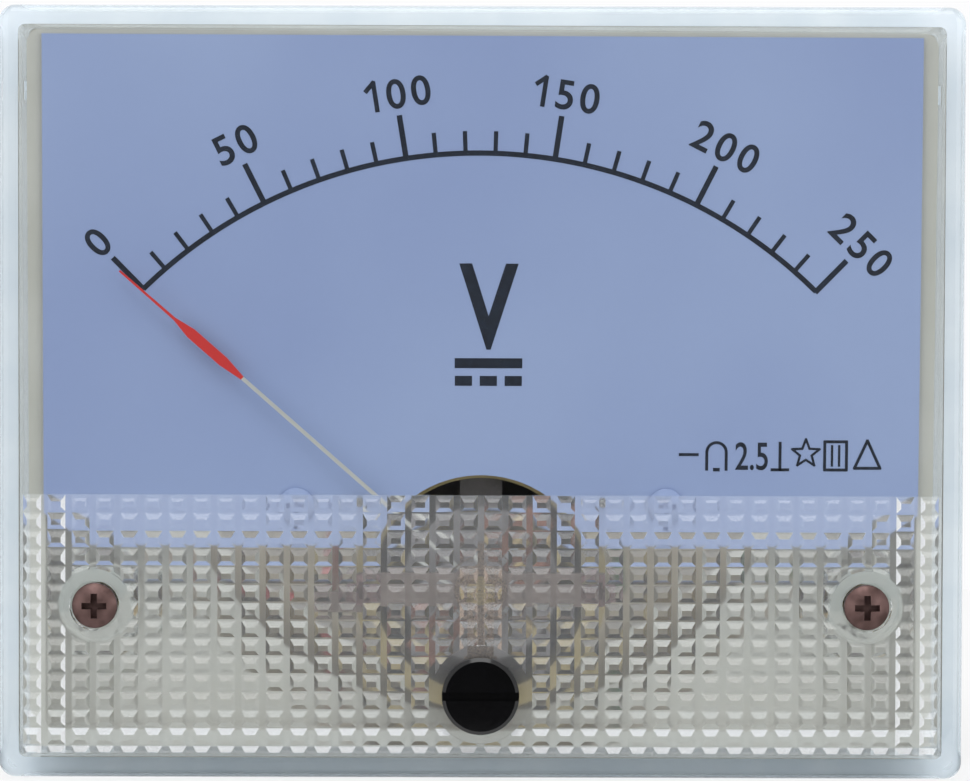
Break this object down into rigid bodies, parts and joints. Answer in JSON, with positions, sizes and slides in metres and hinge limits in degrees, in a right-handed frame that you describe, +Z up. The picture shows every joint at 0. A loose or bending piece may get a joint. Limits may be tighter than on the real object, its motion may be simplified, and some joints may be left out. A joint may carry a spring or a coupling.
{
  "type": "analog panel meter",
  "caption": "Moving-coil panel voltmeter: clear front cover over a blue dial with a pointer, zero adjuster, round case behind the panel, studs and screw terminals.",
  "frame": {"origin": "on the round case's axis, in the plane of the panel, which is the back of the flange", "axes": "+Z up, -Y out of the dial towards the viewer, +X to the viewer's right, so +Y runs back through the panel along the case"},
  "size_m": [0.08, 0.076, 0.064],
  "materials": {
    "clear_cover": "clear, polished",
    "bronzed_steel": "bronzed",
    "brass": "turned",
    "case_plastic": "moulded",
    "zinc_steel": "zinc plated",
    "tinned_brass": "tinned",
    "nickel_plate": "nickel plated",
    "dial_paint": "satin paint",
    "yellow_zinc": "yellow passivated",
    "magnet_alloy": "ground",
    "die_cast_alloy": "die cast",
    "black_plastic": "turned",
    "jewel": "polished",
    "aluminium_sheet": "bare",
    "enamelled_copper": "enamelled wire",
    "pivot_steel": "polished",
    "pointer_paint": "red tip, bare stem",
    "spring_bronze": "rolled",
    "resistor_lacquer": "lacquered",
    "red_insulation": "flexible insulation",
    "green_insulation": "flexible insulation"
  },
  "bodies": {
    "case": {"front_cover": "clear_cover", "cover_screws": "bronzed_steel", "screw_inserts": "brass", "rear_case": "case_plastic", "panel_studs": "zinc_steel", "terminal_studs": "brass", "terminal_tags": "tinned_brass", "terminal_washers": "nickel_plate", "terminal_spring_washers": "zinc_steel", "terminal_nuts": "brass", "dial_plate": "dial_paint", "dial_posts": "brass", "dial_screws": "nickel_plate", "pointer_stops": "nickel_plate", "yoke_ring": "yellow_zinc", "core_magnet": "magnet_alloy", "movement_bracket": "die_cast_alloy", "movement_screws": "nickel_plate", "front_bridge": "brass", "bridge_pillars": "black_plastic", "bridge_screws": "nickel_plate", "front_jewel_screw": "brass", "rear_jewel_screw": "brass", "pivot_jewels": "jewel", "rear_lock_nut": "brass", "rear_spring_tag": "brass", "series_resistor": "resistor_lacquer", "supply_lead": "tinned_brass", "red_lead": "red_insulation", "green_lead": "green_insulation"},
    "moving_coil": {"coil_former": "aluminium_sheet", "coil_winding": "enamelled_copper", "front_pivot": "pivot_steel", "rear_pivot": "pivot_steel", "pointer": "pointer_paint", "balance_cross": "aluminium_sheet", "balance_weights": "brass", "front_hairspring": "spring_bronze", "rear_hairspring": "spring_bronze"},
    "zero_adjuster": {"zero_adjuster": "black_plastic", "adjuster_clip": "pivot_steel"},
    "zero_lever": {"zero_lever": "spring_bronze"}
  },
  "joints": [
    {"name": "pointer_swing", "type": "hinge", "parent": "case", "child": "moving_coil", "pos_m": [0, 0, -0.0165], "axis": [0, 1, 0], "range_deg": [-3, 100], "stiffness_Nm_per_rad": 0.00005, "deforming": ["front_hairspring", "rear_hairspring"]},
    {"name": "zero_adjust_turn", "type": "hinge", "parent": "case", "child": "zero_adjuster", "pos_m": [0, 0, -0.025], "axis": [0, 1, 0], "range_deg": [-30, 30]},
    {"name": "zero_lever_turn", "type": "hinge", "parent": "case", "child": "zero_lever", "pos_m": [0, 0, -0.0165], "axis": [0, 1, 0], "range_deg": [-4.5, 4.5]}
  ],
  "couplings": [
    {"joint": "zero_lever_turn", "follows": "zero_adjust_turn", "ratio": -0.13}
  ]
}
